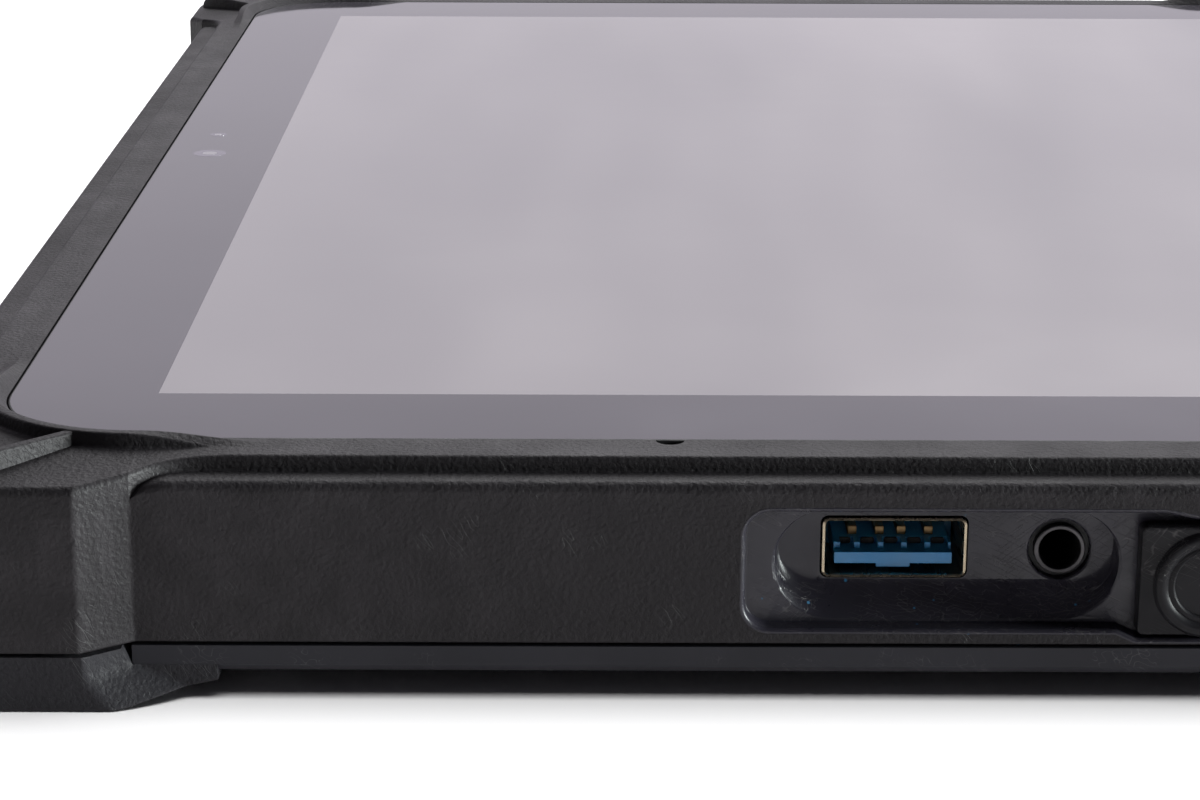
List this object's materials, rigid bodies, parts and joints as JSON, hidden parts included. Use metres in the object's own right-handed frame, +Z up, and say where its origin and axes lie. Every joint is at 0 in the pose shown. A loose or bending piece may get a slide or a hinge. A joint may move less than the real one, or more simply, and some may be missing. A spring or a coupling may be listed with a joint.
{
  "type": "data collector",
  "caption": "Rugged tablet data collector with a large touch screen, guarded corners, side ports under covers, side keys and a latched battery pack in its back.",
  "frame": {"origin": "centre of the case in plan, on the surface that the feet stand on", "axes": "+Z up out of the screen, +Y along the long side away from the side with the USB and audio bay, +X to the right seen from that side"},
  "size_m": [0.195, 0.2694, 0.0232],
  "materials": {
    "shell_plastic": "fine leather grain, matt",
    "cover_plastic": "smooth satin, slightly blue black",
    "foot_rubber": "fine grain, matt",
    "cover_rubber": "smooth, slightly glossy",
    "key_rubber": "smooth matt",
    "latch_plastic": "satin",
    "screen_glass": "polished glass over a printed black margin and the picture area",
    "foam_tape": "matt foam",
    "lcd_film": "polarising film",
    "backlight_white": "white sheet in a metal tray",
    "chassis_metal": "bare cast alloy",
    "black_plastic": "satin",
    "socket_steel": "nickel plated",
    "usb_blue": "satin moulded",
    "gold_contact": "gold plated",
    "screw_steel": "blackened",
    "insert_brass": "turned",
    "circuit_board": "solder mask",
    "copper": "copper sheet",
    "ceramic": "fired ceramic",
    "dark_glass": "polished",
    "flash_clear": "clear lens over a yellow LED"
  },
  "bodies": {
    "case": {"front_frame": "shell_plastic", "bottom_cover": "cover_plastic", "case_seal": "cover_rubber", "foot_near_left": "foot_rubber", "foot_near_right": "foot_rubber", "foot_far_left": "foot_rubber", "foot_far_right": "foot_rubber", "cover_glass": "screen_glass", "glass_tape": "foam_tape", "lcd_panel": "lcd_film", "backlight_unit": "backlight_white", "chassis_plate": "chassis_metal", "front_camera": "black_plastic", "light_sensor": "black_plastic", "usb_shell": "socket_steel", "usb_tongue": "usb_blue", "usb_contacts": "gold_contact", "audio_socket": "black_plastic", "audio_rim": "socket_steel", "power_socket": "black_plastic", "power_pin": "socket_steel", "cover_anchor": "cover_rubber", "anchor_screw": "screw_steel", "main_board": "circuit_board", "shield_cans": "chassis_metal", "heat_spreader": "copper", "storage_card": "circuit_board", "radio_card": "circuit_board", "gnss_module": "circuit_board", "gnss_antenna": "ceramic", "radio_antenna": "copper", "speaker_near": "black_plastic", "speaker_far": "black_plastic", "battery_pack": "cover_plastic", "battery_terminals": "black_plastic", "rear_camera": "chassis_metal", "camera_window": "dark_glass", "flash_lens": "flash_clear", "dock_block": "black_plastic", "dock_contacts": "gold_contact", "case_screws": "screw_steel", "board_screws": "screw_steel", "mount_inserts": "insert_brass", "key_mat": "cover_rubber", "key_switches": "circuit_board", "key_board": "circuit_board"},
    "power_cover": {"power_cover": "cover_rubber"},
    "power_key": {"power_key": "key_rubber"},
    "volume_up_key": {"volume_up_key": "key_rubber"},
    "volume_down_key": {"volume_down_key": "key_rubber"},
    "function_key": {"function_key": "key_rubber"},
    "latch_left": {"latch_left": "latch_plastic"},
    "latch_right": {"latch_right": "latch_plastic"}
  },
  "joints": [
    {"name": "power_cover_bend", "type": "hinge", "parent": "case", "child": "power_cover", "pos_m": [0.0322, -0.1314, 0.0113], "axis": [0, 0, 1], "range_deg": [0, 100]},
    {"name": "power_key_press", "type": "slide", "parent": "case", "child": "power_key", "axis": [0, -1, 0], "range_m": [0, 0.0005], "stiffness_N_per_m": 2500},
    {"name": "volume_up_key_press", "type": "slide", "parent": "case", "child": "volume_up_key", "axis": [0, -1, 0], "range_m": [0, 0.0005], "stiffness_N_per_m": 2500},
    {"name": "volume_down_key_press", "type": "slide", "parent": "case", "child": "volume_down_key", "axis": [0, -1, 0], "range_m": [0, 0.0005], "stiffness_N_per_m": 2500},
    {"name": "function_key_press", "type": "slide", "parent": "case", "child": "function_key", "axis": [0, -1, 0], "range_m": [0, 0.0005], "stiffness_N_per_m": 2500},
    {"name": "latch_left_slide", "type": "slide", "parent": "case", "child": "latch_left", "axis": [0, -1, 0], "range_m": [0, 0.004]},
    {"name": "latch_right_slide", "type": "slide", "parent": "case", "child": "latch_right", "axis": [0, -1, 0], "range_m": [0, 0.004]}
  ]
}
